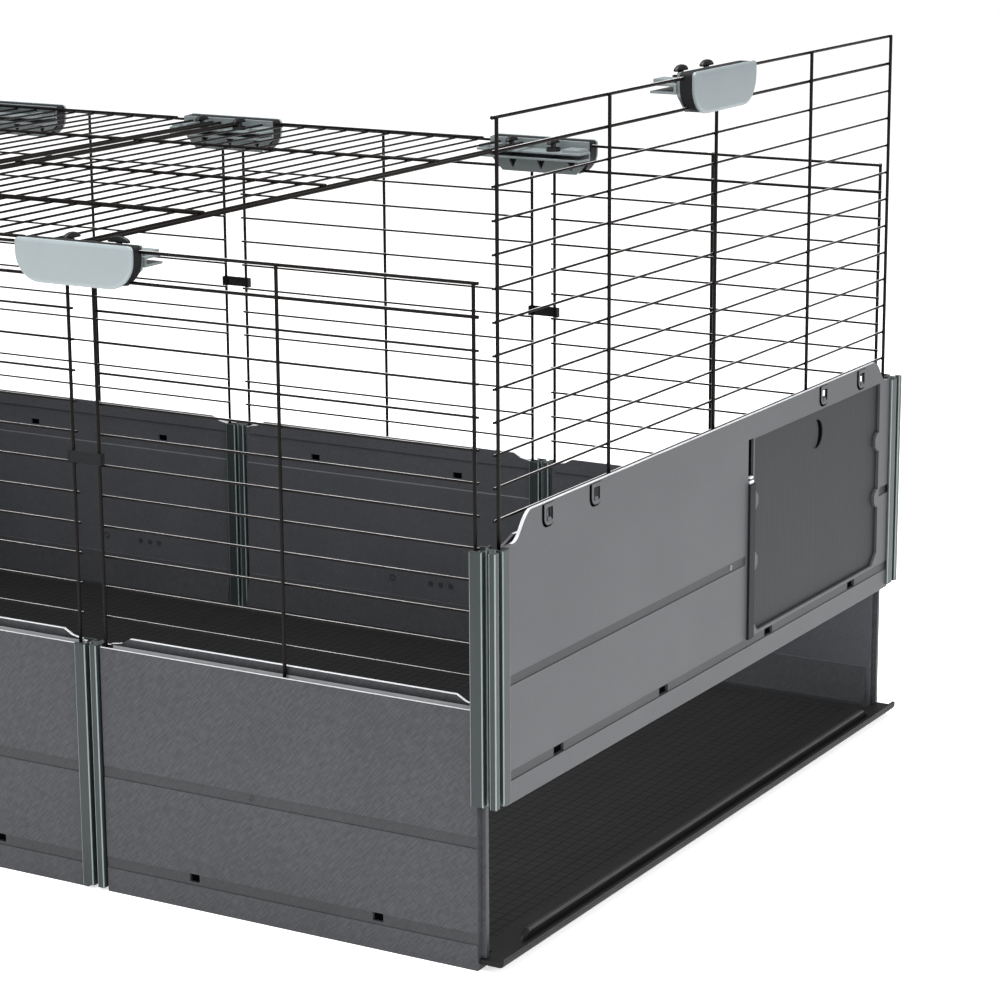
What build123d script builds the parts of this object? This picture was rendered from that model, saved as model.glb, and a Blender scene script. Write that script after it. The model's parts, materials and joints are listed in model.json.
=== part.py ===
from build123d import *
import os

os.makedirs("parts", exist_ok=True)

# Modular rabbit cage, three modules long and two deep, with its right end lifted
module = 350
half_length = 1.5 * module
half_depth = module
junction = module / 2
lift = 113
top_rail = 500

# Plastic walls: distances out of and in from the wire plane
wall_out = 7
wall_in = 5
wall_height = 196
wall_end = 8
bead = 4.5
slide_gap = 0.3

# Wire mesh: thick rods are eight-sided, thin ones six-sided
rod = 1.4
thin = 0.8
row_pitch = 23.5
rows = 13
rod_inset = 12
rod_foot = 190
nub = 2.6
weld_gap = 0.02

# Tray and side wall levels
tray_bottom = 5
tray_top = 9
lip_reach = 12.5
side_foot = 10
side_low = 201
side_high = 221

# Connectors that clamp the top two rails
clamp_width = 108
clamp_bottom = 472
clamp_top = 505
clamp_out = 9
face_inner = 5.5
shelf_top = 495.5
shelf_reach = 30
knob_side = 22
knob_in = 20
corner_clamp = half_length - 86

# Straight wall of one module, right front, with a groove at its left end and a bead at its right
wall_start = junction + 11
wall_stop = half_length - wall_end
wall_middle = module
wall_profile = [
    (-half_depth - wall_out, 0),
    (-half_depth - wall_out, wall_height),
    (-half_depth - 4.8, wall_height),
    (-half_depth - 4.8, 189),
    (-half_depth + 2, 189),
    (-half_depth + 2, wall_height),
    (-half_depth + wall_in - 0.8, wall_height),
    (-half_depth + wall_in - 0.8, 160),
    (-half_depth + wall_in, 159),
    (-half_depth + wall_in, 44),
    (-half_depth + 12.5, 36),
    (-half_depth + 12.5, tray_bottom),
    (-half_depth + 17, tray_bottom),
    (-half_depth + 17, 0),
]
with BuildPart() as wall_front_right:
    with BuildSketch(Plane.YZ.offset(wall_start)):
        with BuildLine():
            Polyline(*wall_profile, close=True)
        make_face()
    extrude(amount=wall_stop - wall_start)
    # Raised inner flange with swept ends behind the wire channel
    with BuildSketch(Plane.XZ.offset(half_depth - wall_in + 0.2)):
        with BuildLine():
            Polyline(
                (wall_start + 4, 189),
                (wall_start + 4, 197),
                (wall_start + 14, 198.5),
                (wall_start + 22, 203),
                (wall_stop - 22, 203),
                (wall_stop - 14, 198.5),
                (wall_stop - 4, 197),
                (wall_stop - 4, 189),
                close=True,
            )
        make_face()
    extrude(amount=2.6)
    # Bead that the next post slides over
    with Locations((wall_stop + bead / 2, -half_depth, 9.3)):
        Box(bead, 4.4, 185, align=(Align.CENTER, Align.CENTER, Align.MIN))
    # Groove for the tongue of the post on the left
    with Locations((wall_start + 3, -half_depth, 98)):
        Box(6, 4.4, 197, mode=Mode.SUBTRACT)
    # Shallow band and foot groove along the outer face
    with Locations((wall_middle, -half_depth - wall_out, 97.5), (wall_middle, -half_depth - wall_out, 24)):
        Box(module, 1.2, 9, mode=Mode.SUBTRACT)
    # Clearance for the inner leg of the post over the right end of the foot
    with Locations((wall_stop, -half_depth + wall_in, 0)):
        Box(4.6, 13, 200, align=(Align.MAX, Align.MIN, Align.MIN), mode=Mode.SUBTRACT)
    # Slots low on the outer face and high on the inner face
    with Locations(*[(wall_middle + s * 82, -half_depth - wall_out, 25.5) for s in (-1, 1)]):
        Box(9, 7, 6.5, mode=Mode.SUBTRACT)
    with Locations(*[(wall_middle + s * 82, -half_depth + wall_in, 173) for s in (-1, 1)]):
        Box(10, 6, 6, mode=Mode.SUBTRACT)
wall_front_right.part.label = "wall_front_right"
export_step(wall_front_right.part, "parts/wall_front_right.step")

with BuildPart() as wall_front_middle:
    with Locations((-module, 0, 0)):
        add(wall_front_right.part)
wall_front_middle.part.label = "wall_front_middle"
export_step(wall_front_middle.part, "parts/wall_front_middle.step")

# Left end wall has a bead at both ends
with BuildPart() as wall_front_left:
    with Locations((-2 * module, 0, 0)):
        add(wall_front_right.part)
    with BuildSketch(Plane.YZ.offset(-half_length + wall_end)):
        with BuildLine():
            Polyline(*wall_profile, close=True)
        make_face()
    extrude(amount=9.5)
    with Locations((-half_length + wall_end - bead / 2, -half_depth, 9.3)):
        Box(bead, 4.4, 185, align=(Align.CENTER, Align.CENTER, Align.MIN))
    with Locations((-half_length + wall_end, -half_depth + wall_in, 0)):
        Box(4.6, 13, 200, align=(Align.MIN, Align.MIN, Align.MIN), mode=Mode.SUBTRACT)
wall_front_left.part.label = "wall_front_left"
export_step(wall_front_left.part, "parts/wall_front_left.step")

# Back walls are the front ones mirrored
with BuildPart() as wall_back_right:
    mirror(wall_front_right.part, about=Plane.XZ)
wall_back_right.part.label = "wall_back_right"
export_step(wall_back_right.part, "parts/wall_back_right.step")

with BuildPart() as wall_back_middle:
    mirror(wall_front_middle.part, about=Plane.XZ)
wall_back_middle.part.label = "wall_back_middle"
export_step(wall_back_middle.part, "parts/wall_back_middle.step")

with BuildPart() as wall_back_left:
    mirror(wall_front_left.part, about=Plane.XZ)
wall_back_left.part.label = "wall_back_left"
export_step(wall_back_left.part, "parts/wall_back_left.step")

# Base tray in three sections, with a locating ridge and a lip at each end
with BuildPart() as base_right:
    with BuildSketch(Plane.XY.offset(tray_bottom)):
        with BuildLine():
            Polyline(
                (junction, -337.3),
                (wall_stop + 0.3, -337.3),
                (wall_stop + 0.3, -355),
                (half_length + lip_reach, -355),
                (half_length + lip_reach, 355),
                (wall_stop + 0.3, 355),
                (wall_stop + 0.3, 337.3),
                (junction, 337.3),
                close=True,
            )
        make_face()
    extrude(amount=tray_top - tray_bottom)
    with BuildSketch(Plane.YZ.offset(half_length - 0.5)):
        with BuildLine():
            Polyline((-312, tray_top), (-306, 17), (306, 17), (312, tray_top), close=True)
        make_face()
    extrude(amount=5)
    with Locations((half_length + lip_reach - 1.25, 0, tray_top)):
        Box(2.5, 710, 3, align=(Align.CENTER, Align.CENTER, Align.MIN))
base_right.part.label = "base_right"
export_step(base_right.part, "parts/base_right.step")

with BuildPart() as base_middle:
    with Locations((0, 0, tray_bottom)):
        Box(module, 674.6, tray_top - tray_bottom, align=(Align.CENTER, Align.CENTER, Align.MIN))
base_middle.part.label = "base_middle"
export_step(base_middle.part, "parts/base_middle.step")

with BuildPart() as base_left:
    mirror(base_right.part, about=Plane.YZ)
base_left.part.label = "base_left"
export_step(base_left.part, "parts/base_left.step")

# Straight post: a channel over the left wall's bead, a column and a tongue into the right wall
post_profile = [
    (-11.5, -9.5),
    (-1.5, -9.5),
    (-1.5, -2),
    (2.8, -2),
    (2.8, -9.5),
    (8.8, -9.5),
    (8.8, -2),
    (16, -2),
    (16, 2),
    (8.8, 2),
    (8.8, 7.5),
    (2.8, 7.5),
    (2.8, 2),
    (-1.5, 2),
    (-1.5, 7.5),
    (-12, 7.5),
    (-12, wall_in),
    (-2.8, wall_in),
    (-2.8, -wall_out),
    (-11.5, -wall_out),
]
with BuildPart() as post_front_right:
    with BuildSketch(Plane.XY.offset(2.5)):
        with BuildLine():
            Polyline(*[(junction + along, out - half_depth) for along, out in post_profile], close=True)
        make_face()
    extrude(amount=194.5)
    # The tongue ends below the feet of the wire rods
    with Locations((junction + 9, -half_depth, 187)):
        Box(8, 4, 12, align=(Align.MIN, Align.CENTER, Align.MIN), mode=Mode.SUBTRACT)
post_front_right.part.label = "post_front_right"
export_step(post_front_right.part, "parts/post_front_right.step")

with BuildPart() as post_front_left:
    with Locations((-module, 0, 0)):
        add(post_front_right.part)
post_front_left.part.label = "post_front_left"
export_step(post_front_left.part, "parts/post_front_left.step")

with BuildPart() as post_back_right:
    mirror(post_front_right.part, about=Plane.XZ)
post_back_right.part.label = "post_back_right"
export_step(post_back_right.part, "parts/post_back_right.step")

with BuildPart() as post_back_left:
    mirror(post_front_left.part, about=Plane.XZ)
post_back_left.part.label = "post_back_left"
export_step(post_back_left.part, "parts/post_back_left.step")

# Corner post in its lowered place, which slides on the front wall and holds the side wall
with BuildPart() as corner_post:
    with BuildSketch(Plane.XY.offset(12.5)) as corner_profile:
        with Locations((half_length - 6.75, -half_depth - 8.4)):
            Rectangle(10.5, 2.2)
        with Locations((half_length - 2.25, -half_depth - 3.25)):
            Rectangle(1.5, 12.5)
        with Locations((half_length, -half_depth)):
            Rectangle(6, 6)
        with Locations(Location((half_length + 4, -half_depth - 4), 45)):
            Rectangle(2, 7)
        with Locations((half_length + 6.75, -half_depth - 6.75)):
            Rectangle(5.5, 5.5)
        with Locations((half_length + 3.25, -half_depth + 2.25)):
            Rectangle(12.5, 1.5)
        with Locations((half_length + 8.4, -half_depth + 6.75)):
            Rectangle(2.2, 10.5)
        with Locations(Location((half_length - 4.2, -half_depth + 4.2), 45)):
            Rectangle(1.2, 6)
        with Locations((half_length - 8.65, -half_depth + 6.4)):
            Rectangle(6.7, 2.2)
        with Locations((half_length - 6.25, -half_depth + 8.65)):
            Rectangle(2.5, 6.7)
    extrude(amount=187.5)

with BuildPart() as corner_post_front_right:
    with Locations((0, 0, lift)):
        add(corner_post.part)
corner_post_front_right.part.label = "corner_post_front_right"
export_step(corner_post_front_right.part, "parts/corner_post_front_right.step")

with BuildPart() as corner_post_back_right:
    mirror(corner_post_front_right.part, about=Plane.XZ)
corner_post_back_right.part.label = "corner_post_back_right"
export_step(corner_post_back_right.part, "parts/corner_post_back_right.step")

with BuildPart() as corner_post_front_left:
    mirror(corner_post.part, about=Plane.YZ)
corner_post_front_left.part.label = "corner_post_front_left"
export_step(corner_post_front_left.part, "parts/corner_post_front_left.step")

with BuildPart() as corner_post_back_left:
    mirror(corner_post_front_left.part, about=Plane.XZ)
corner_post_back_left.part.label = "corner_post_back_left"
export_step(corner_post_back_left.part, "parts/corner_post_back_left.step")

# Side wall in its lowered place: body, raised outer skin, door pocket and passage
door_middle = 190
door_half = 129
aperture_half = 127
side_half = half_depth - wall_end
with BuildPart() as side_wall:
    with BuildSketch(Plane.XZ.offset(-side_half)):
        with BuildLine():
            Polyline(
                (half_length - wall_in, side_foot),
                (half_length - wall_in, wall_height),
                (half_length - 2, wall_height),
                (half_length - 2, 189),
                (half_length + 4.3, 189),
                (half_length + 4.3, wall_height),
                (half_length + wall_out, wall_height),
                (half_length + wall_out, side_foot),
                close=True,
            )
        make_face()
    extrude(amount=2 * side_half)
    # Outer skin swept up between its two shoulders
    with BuildSketch(Plane.YZ.offset(half_length + 4.3)):
        with BuildLine():
            Line((-side_half, 189), (-side_half, side_low))
            Line((-side_half, side_low), (-side_half + 11, side_low))
            Spline(
                (-side_half + 11, side_low),
                (-side_half + 24, side_low + 8),
                (-side_half + 38, side_high),
                tangents=[(1, 0), (1, 0.35)],
            )
            Line((-side_half + 38, side_high), (side_half - 38, side_high))
            Spline(
                (side_half - 38, side_high),
                (side_half - 24, side_low + 8),
                (side_half - 11, side_low),
                tangents=[(1, -0.35), (1, 0)],
            )
            Line((side_half - 11, side_low), (side_half, side_low))
            Line((side_half, side_low), (side_half, 189))
            Line((side_half, 189), (-side_half, 189))
        make_face()
    extrude(amount=wall_out - 4.3)
    # Inner flange behind the wire channel
    with BuildSketch(Plane.YZ.offset(half_length - wall_in + 0.2)):
        with BuildLine():
            Polyline((-330, 189), (-330, 197), (-312, 203), (312, 203), (330, 197), (330, 189), close=True)
        make_face()
    extrude(amount=2.6)
    # Beads that sit in the corner posts
    with Locations((half_length, -side_half - bead / 2, 12.5), (half_length, side_half + bead / 2, 12.5)):
        Box(4.4, bead, 180, align=(Align.CENTER, Align.CENTER, Align.MIN))
    # Hollow foot that drops over the ridge of the tray
    with Locations((half_length + 2, 0, side_foot)):
        Box(6.6, 632, 9, align=(Align.CENTER, Align.CENTER, Align.MIN), mode=Mode.SUBTRACT)
    # Pocket in which the door slides, open at the top
    with Locations((half_length + 1.7, door_middle, 34.5)):
        Box(2.6, 2 * door_half + 1, 190, align=(Align.MIN, Align.CENTER, Align.MIN), mode=Mode.SUBTRACT)
    # Aperture that shows the door, with clipped lower corners and four rounded keepers
    with BuildSketch(Plane.YZ.offset(half_length + 4)):
        with BuildLine():
            Polyline(
                (door_middle - aperture_half, 47),
                (door_middle - aperture_half + 10, 37),
                (door_middle + aperture_half - 10, 37),
                (door_middle + aperture_half, 47),
                (door_middle + aperture_half, 200),
                (door_middle - aperture_half, 200),
                close=True,
            )
        make_face()
        with Locations(*[(door_middle + s * aperture_half, z) for s in (-1, 1) for z in (97, 148)]):
            RegularPolygon(8, 8, major_radius=False, rotation=22.5, mode=Mode.SUBTRACT)
    extrude(amount=4, mode=Mode.SUBTRACT)
    # Passage that the door closes
    with BuildSketch(Plane.YZ.offset(half_length - wall_in - 1)) as passage:
        with Locations((door_middle, 112)):
            Rectangle(220, 132)
        chamfer(passage.vertices(), 24)
    extrude(amount=8, mode=Mode.SUBTRACT)
    # Windows near the top edge, open upward, and slots along the foot
    with BuildSketch(Plane.YZ.offset(half_length + 4)) as windows:
        with Locations(*[(y, 211.5) for y in (-278, -207, 198, 276)]):
            Rectangle(12, 15)
        chamfer(windows.vertices(), 2.5)
    extrude(amount=4, mode=Mode.SUBTRACT)
    with Locations(*[(half_length + wall_out, y, 30.5) for y in (-263, -95, 95, 263)]):
        Box(6, 15, 6.5, mode=Mode.SUBTRACT)
    # Shallow bands along the outer face
    with Locations((half_length + wall_out, 0, 30.7)):
        Box(1.2, 2 * side_half, 7.6, mode=Mode.SUBTRACT)
    with Locations((half_length + wall_out, -side_half, 101.5)):
        Box(1.2, side_half + 48, 7.5, align=(Align.CENTER, Align.MIN, Align.CENTER), mode=Mode.SUBTRACT)
    with Locations((half_length + wall_out, side_half, 101.5)):
        Box(1.2, 23, 7.5, align=(Align.CENTER, Align.MAX, Align.CENTER), mode=Mode.SUBTRACT)
    # Upright rail beside the door, with the empty groove above it
    with Locations((half_length + wall_out, 56, 34)):
        Box(2.5, 10, 130, align=(Align.MIN, Align.CENTER, Align.MIN))
    with Locations((half_length + wall_out, 56, 167)):
        Box(4, 9, 34, align=(Align.CENTER, Align.CENTER, Align.MIN), mode=Mode.SUBTRACT)

with BuildPart() as side_wall_right:
    with Locations((0, 0, lift)):
        add(side_wall.part)
side_wall_right.part.label = "side_wall_right"
export_step(side_wall_right.part, "parts/side_wall_right.step")

with BuildPart() as side_wall_left:
    with Locations(Location((0, 0, 0), (0, 0, 180))):
        add(side_wall.part)
side_wall_left.part.label = "side_wall_left"
export_step(side_wall_left.part, "parts/side_wall_left.step")

# Door plate with a round finger recess near its top edge
with BuildPart() as door:
    with BuildSketch(Plane.YZ.offset(half_length + 2.1)):
        with BuildLine():
            Polyline(
                (door_middle - door_half, 46),
                (door_middle - door_half + 11, 35.2),
                (door_middle + door_half - 11, 35.2),
                (door_middle + door_half, 46),
                (door_middle + door_half, 199),
                (door_middle - door_half, 199),
                close=True,
            )
        make_face()
    extrude(amount=1.9)
    with BuildSketch(Plane.YZ.offset(half_length + 4)):
        with Locations((door_middle, 179)):
            RegularPolygon(12.5, 24)
    extrude(amount=-1.3, mode=Mode.SUBTRACT)

with BuildPart() as door_right:
    with Locations((0, 0, lift)):
        add(door.part)
door_right.part.label = "door_right"
export_step(door_right.part, "parts/door_right.step")

with BuildPart() as door_left:
    with Locations(Location((0, 0, 0), (0, 0, 180))):
        add(door.part)
door_left.part.label = "door_left"
export_step(door_left.part, "parts/door_left.step")

# Wire mesh of one module, right front: three upright rods outside thirteen level wires
level = [top_rail - row_pitch * i for i in range(rows)]
with BuildPart() as wires_front_right:
    with BuildSketch(Plane.XY.offset(rod_foot)):
        with Locations(
            (junction + rod_inset, -half_depth),
            (half_length - rod_inset, -half_depth),
            (wall_middle, -half_depth - weld_gap),
        ):
            RegularPolygon(rod, 8, major_radius=False, rotation=22.5)
    extrude(amount=top_rail + rod - rod_foot)
    with BuildSketch(Plane.YZ.offset(junction + rod_inset - nub)):
        with Locations(*[(-half_depth + 2 * rod, z) for z in level[:2]]):
            RegularPolygon(rod, 8, major_radius=False, rotation=22.5)
        with Locations(*[(-half_depth + rod + thin, z) for z in level[2:]]):
            RegularPolygon(thin, 6, major_radius=False, rotation=30)
    extrude(amount=module - 2 * rod_inset + 2 * nub)
wires_front_right.part.label = "wires_front_right"
export_step(wires_front_right.part, "parts/wires_front_right.step")

with BuildPart() as wires_front_middle:
    with Locations((-module, 0, 0)):
        add(wires_front_right.part)
wires_front_middle.part.label = "wires_front_middle"
export_step(wires_front_middle.part, "parts/wires_front_middle.step")

with BuildPart() as wires_front_left:
    with Locations((-2 * module, 0, 0)):
        add(wires_front_right.part)
wires_front_left.part.label = "wires_front_left"
export_step(wires_front_left.part, "parts/wires_front_left.step")

with BuildPart() as wires_back_right:
    mirror(wires_front_right.part, about=Plane.XZ)
wires_back_right.part.label = "wires_back_right"
export_step(wires_back_right.part, "parts/wires_back_right.step")

with BuildPart() as wires_back_middle:
    mirror(wires_front_middle.part, about=Plane.XZ)
wires_back_middle.part.label = "wires_back_middle"
export_step(wires_back_middle.part, "parts/wires_back_middle.step")

with BuildPart() as wires_back_left:
    mirror(wires_front_left.part, about=Plane.XZ)
wires_back_left.part.label = "wires_back_left"
export_step(wires_back_left.part, "parts/wires_back_left.step")

# Wire mesh of a whole side, two modules wide, in its lowered place
with BuildPart() as side_wires:
    with BuildSketch(Plane.XY.offset(rod_foot)):
        with Locations(*[(half_length, s * (half_depth - rod_inset)) for s in (-1, 1)]):
            RegularPolygon(rod, 8, major_radius=False, rotation=22.5)
        with Locations(*[(half_length + weld_gap, y) for y in (-junction, 0, junction)]):
            RegularPolygon(rod, 8, major_radius=False, rotation=22.5)
    extrude(amount=top_rail + rod - rod_foot)
    with BuildSketch(Plane.XZ.offset(-half_depth + rod_inset - nub)):
        with Locations(*[(half_length - 2 * rod, z) for z in level[:2]]):
            RegularPolygon(rod, 8, major_radius=False, rotation=22.5)
        with Locations(*[(half_length - rod - thin, z) for z in level[2:]]):
            RegularPolygon(thin, 6, major_radius=False, rotation=30)
    extrude(amount=2 * (half_depth - rod_inset + nub))

with BuildPart() as side_wires_right:
    with Locations((0, 0, lift)):
        add(side_wires.part)
side_wires_right.part.label = "side_wires_right"
export_step(side_wires_right.part, "parts/side_wires_right.step")

with BuildPart() as side_wires_left:
    mirror(side_wires.part, about=Plane.YZ)
side_wires_left.part.label = "side_wires_left"
export_step(side_wires_left.part, "parts/side_wires_left.step")

# Roof mesh over the middle module: doubled edge rods, thin wires between them, cross rods on top
roof_level = top_rail - 0.5
roof_reach = half_depth - 8.6
edge_rods = [8, 17]
wire_count = 12
roof_pitch = (module - 2 * edge_rods[1]) / (wire_count + 1)
edge_places = [s * (junction - d) for s in (-1, 1) for d in edge_rods]
wire_places = [-junction + edge_rods[1] + roof_pitch * (i + 1) for i in range(wire_count)]
with BuildPart() as roof_middle:
    with BuildSketch(Plane.XZ.offset(-roof_reach)):
        with Locations(*[(x, roof_level) for x in edge_places]):
            RegularPolygon(rod, 8, major_radius=False, rotation=22.5)
        with Locations(*[(x, roof_level + rod - thin) for x in wire_places]):
            RegularPolygon(thin, 6, major_radius=False, rotation=0)
    extrude(amount=2 * roof_reach)
    with BuildSketch(Plane.YZ.offset(-junction + 7)):
        with Locations((-junction, roof_level + 2 * rod), (junction, roof_level + 2 * rod)):
            RegularPolygon(rod, 8, major_radius=False, rotation=22.5)
        with Locations((0, roof_level + 2 * rod + weld_gap)):
            RegularPolygon(rod, 8, major_radius=False, rotation=22.5)
    extrude(amount=module - 14)
    with BuildSketch(Plane.YZ.offset(-junction + 58)):
        with Locations(*[(s * (roof_reach - 1.8), roof_level + 2 * rod) for s in (-1, 1)]):
            RegularPolygon(rod, 8, major_radius=False, rotation=22.5)
    extrude(amount=module - 116)
roof_middle.part.label = "roof_middle"
export_step(roof_middle.part, "parts/roof_middle.step")

# Roof mesh over the left module, whose end cross rods run on over the corner connectors
with BuildPart() as roof_left:
    with Locations((-module, 0, 0)):
        add(roof_middle.part)
    with BuildSketch(Plane.YZ.offset(-half_length + 7)):
        with Locations(*[(s * (roof_reach - 1.8), roof_level + 2 * rod) for s in (-1, 1)]):
            RegularPolygon(rod, 8, major_radius=False, rotation=22.5)
    extrude(amount=60)
roof_left.part.label = "roof_left"
export_step(roof_left.part, "parts/roof_left.step")

# Clips that join the end rods of neighbouring panels
with BuildPart() as wire_clips:
    for x in (-junction, junction):
        for s in (-1, 1):
            with Locations((x, s * (half_depth + rod + 0.9), 341)):
                Box(31, 1.8, 9)
            with Locations(*[(x + e * 14.65, s * (half_depth + 0.9), 341) for e in (-1, 1)]):
                Box(1.7, 5, 9)
            with Locations((x, s * (half_depth + 2.1), 344.75)):
                Box(19, 2.4, 1.5)
wire_clips.part.label = "wire_clips"
export_step(wire_clips.part, "parts/wire_clips.step")

# Front connectors: face plates with generously rounded lower corners
front_clamps = (-corner_clamp, -junction, junction)
clamp_middle = (clamp_bottom + clamp_top) / 2
clamp_height = clamp_top - clamp_bottom
with BuildPart() as face_front:
    for x in front_clamps:
        with BuildSketch(Plane.XZ.offset(half_depth + face_inner)) as outline:
            with Locations((x, clamp_middle)):
                Rectangle(clamp_width, clamp_height)
            fillet(outline.vertices().sort_by(Axis.Y)[:2], 22)
            chamfer(outline.vertices().sort_by(Axis.Y)[-2:], 3)
        extrude(amount=clamp_out - face_inner)
face_front.part.label = "face_front"
export_step(face_front.part, "parts/face_front.step")

# Front connectors: rubber blocks with channels for the rods they grip
with BuildPart() as grip_front:
    for x in front_clamps:
        with BuildSketch(Plane.XZ.offset(half_depth - wall_in)) as outline:
            with Locations((x, clamp_middle)):
                Rectangle(clamp_width - 1, clamp_height - 1)
            chamfer(outline.vertices().sort_by(Axis.Y)[:2], 14)
        extrude(amount=wall_in + face_inner)
        with Locations(*[(x, -half_depth + wall_in, z) for z in level[:2]]):
            Box(clamp_width + 2, 7.6, 3.6, mode=Mode.SUBTRACT)
    for x in front_clamps[1:]:
        with Locations(*[(x + s * rod_inset, -half_depth + wall_in, clamp_middle) for s in (-1, 1)]):
            Box(3.6, 13.6, clamp_height + 2, mode=Mode.SUBTRACT)
grip_front.part.label = "grip_front"
export_step(grip_front.part, "parts/grip_front.step")

# Front connectors: inner plates with a double shelf, three drained corners and a rest for the roof
with BuildPart() as bracket_front:
    for x in front_clamps:
        with BuildSketch(Plane.XZ.offset(half_depth - wall_in - 3)) as outline:
            with Locations((x, clamp_middle)):
                Rectangle(clamp_width - 4, clamp_height - 2)
            chamfer(outline.vertices().sort_by(Axis.Y)[:2], 13)
            for offset in (-28, 2, 34):
                with Locations((x + offset, shelf_top - 13.5)):
                    Triangle(a=9, b=10, c=10, rotation=180, mode=Mode.SUBTRACT)
        extrude(amount=3)
        with BuildSketch(Plane.YZ.offset(x - clamp_width / 2)):
            with BuildLine():
                Polyline(
                    (-half_depth + 8, shelf_top),
                    (-half_depth + shelf_reach, shelf_top),
                    (-half_depth + shelf_reach, shelf_top - 2),
                    (-half_depth + 10, shelf_top - 2),
                    (-half_depth + 10, shelf_top - 6),
                    (-half_depth + shelf_reach, shelf_top - 6),
                    (-half_depth + shelf_reach, shelf_top - 8),
                    (-half_depth + 8, shelf_top - 8),
                    close=True,
                )
            make_face()
        extrude(amount=clamp_width)
        with Locations(*[(x + s * 44, -half_depth + 19, shelf_top) for s in (-1, 1)]):
            Box(17, 18, 3.2, align=(Align.CENTER, Align.CENTER, Align.MIN))
    for x in front_clamps[1:]:
        with BuildSketch(Plane.XY.offset(shelf_top - 9)):
            with Locations(*[(x + s * knob_side, -half_depth + knob_in) for s in (-1, 1)]):
                RegularPolygon(2.8, 12, major_radius=False)
        extrude(amount=10, mode=Mode.SUBTRACT)
bracket_front.part.label = "bracket_front"
export_step(bracket_front.part, "parts/bracket_front.step")

# Back connectors are the front ones mirrored
with BuildPart() as face_back:
    mirror(face_front.part, about=Plane.XZ)
face_back.part.label = "face_back"
export_step(face_back.part, "parts/face_back.step")

with BuildPart() as grip_back:
    mirror(grip_front.part, about=Plane.XZ)
grip_back.part.label = "grip_back"
export_step(grip_back.part, "parts/grip_back.step")

with BuildPart() as bracket_back:
    mirror(bracket_front.part, about=Plane.XZ)
bracket_back.part.label = "bracket_back"
export_step(bracket_back.part, "parts/bracket_back.step")

# Connector in the middle of the lifted end
with BuildPart() as face_side:
    with BuildSketch(Plane.YZ.offset(half_length + face_inner)) as outline:
        with Locations((0, clamp_middle + lift)):
            Rectangle(clamp_width, clamp_height)
        fillet(outline.vertices().sort_by(Axis.Y)[:2], 22)
        chamfer(outline.vertices().sort_by(Axis.Y)[-2:], 3)
    extrude(amount=clamp_out - face_inner)
face_side.part.label = "face_side"
export_step(face_side.part, "parts/face_side.step")

with BuildPart() as grip_side:
    with BuildSketch(Plane.YZ.offset(half_length - wall_in)) as outline:
        with Locations((0, clamp_middle + lift)):
            Rectangle(clamp_width - 1, clamp_height - 1)
        chamfer(outline.vertices().sort_by(Axis.Y)[:2], 14)
    extrude(amount=wall_in + face_inner)
    with Locations(*[(half_length - wall_in, 0, z + lift) for z in level[:2]]):
        Box(7.6, clamp_width + 2, 3.6, mode=Mode.SUBTRACT)
    with Locations((half_length - wall_in, 0, clamp_middle + lift)):
        Box(13.6, 3.6, clamp_height + 2, mode=Mode.SUBTRACT)
grip_side.part.label = "grip_side"
export_step(grip_side.part, "parts/grip_side.step")

with BuildPart() as bracket_side:
    with BuildSketch(Plane.YZ.offset(half_length - wall_in - 3)) as outline:
        with Locations((0, clamp_middle + lift)):
            Rectangle(clamp_width - 4, clamp_height - 2)
        chamfer(outline.vertices().sort_by(Axis.Y)[:2], 13)
        for offset in (-28, 2, 34):
            with Locations((offset, shelf_top + lift - 13.5)):
                Triangle(a=9, b=10, c=10, rotation=180, mode=Mode.SUBTRACT)
    extrude(amount=3)
    with BuildSketch(Plane.XZ.offset(-clamp_width / 2)):
        with BuildLine():
            Polyline(
                (half_length - 8, shelf_top + lift),
                (half_length - shelf_reach, shelf_top + lift),
                (half_length - shelf_reach, shelf_top + lift - 2),
                (half_length - 10, shelf_top + lift - 2),
                (half_length - 10, shelf_top + lift - 6),
                (half_length - shelf_reach, shelf_top + lift - 6),
                (half_length - shelf_reach, shelf_top + lift - 8),
                (half_length - 8, shelf_top + lift - 8),
                close=True,
            )
        make_face()
    extrude(amount=clamp_width)
    with Locations(*[(half_length - 19, s * 44, shelf_top + lift) for s in (-1, 1)]):
        Box(18, 17, 3.2, align=(Align.CENTER, Align.CENTER, Align.MIN))
    with BuildSketch(Plane.XY.offset(shelf_top + lift - 9)):
        with Locations(*[(half_length - knob_in, s * knob_side) for s in (-1, 1)]):
            RegularPolygon(2.8, 12, major_radius=False)
    extrude(amount=10, mode=Mode.SUBTRACT)
bracket_side.part.label = "bracket_side"
export_step(bracket_side.part, "parts/bracket_side.step")

# Wing knob with its pin through both plates of the shelf, wing along X
with BuildPart() as knob:
    with BuildSketch(Plane.XY.offset(shelf_top - 8)):
        RegularPolygon(2.5, 12)
    extrude(amount=15)
    with BuildSketch(Plane.XY.offset(shelf_top + slide_gap)):
        RegularPolygon(6.5, 16)
    extrude(amount=1.8)
    with BuildSketch(Plane.XZ.offset(-1.75)):
        with BuildLine():
            Polyline(
                (-10.5, shelf_top + 6.3),
                (10.5, shelf_top + 6.3),
                (9.6, shelf_top + 9.8),
                (6.6, shelf_top + 12.6),
                (2.4, shelf_top + 13.8),
                (-2.4, shelf_top + 13.8),
                (-6.6, shelf_top + 12.6),
                (-9.6, shelf_top + 9.8),
                close=True,
            )
        make_face()
    extrude(amount=3.5)

with BuildPart() as knob_front_1:
    with Locations(Location((-junction - knob_side, -half_depth + knob_in, 0), (0, 0, 90))):
        add(knob.part)
knob_front_1.part.label = "knob_front_1"
export_step(knob_front_1.part, "parts/knob_front_1.step")

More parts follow.
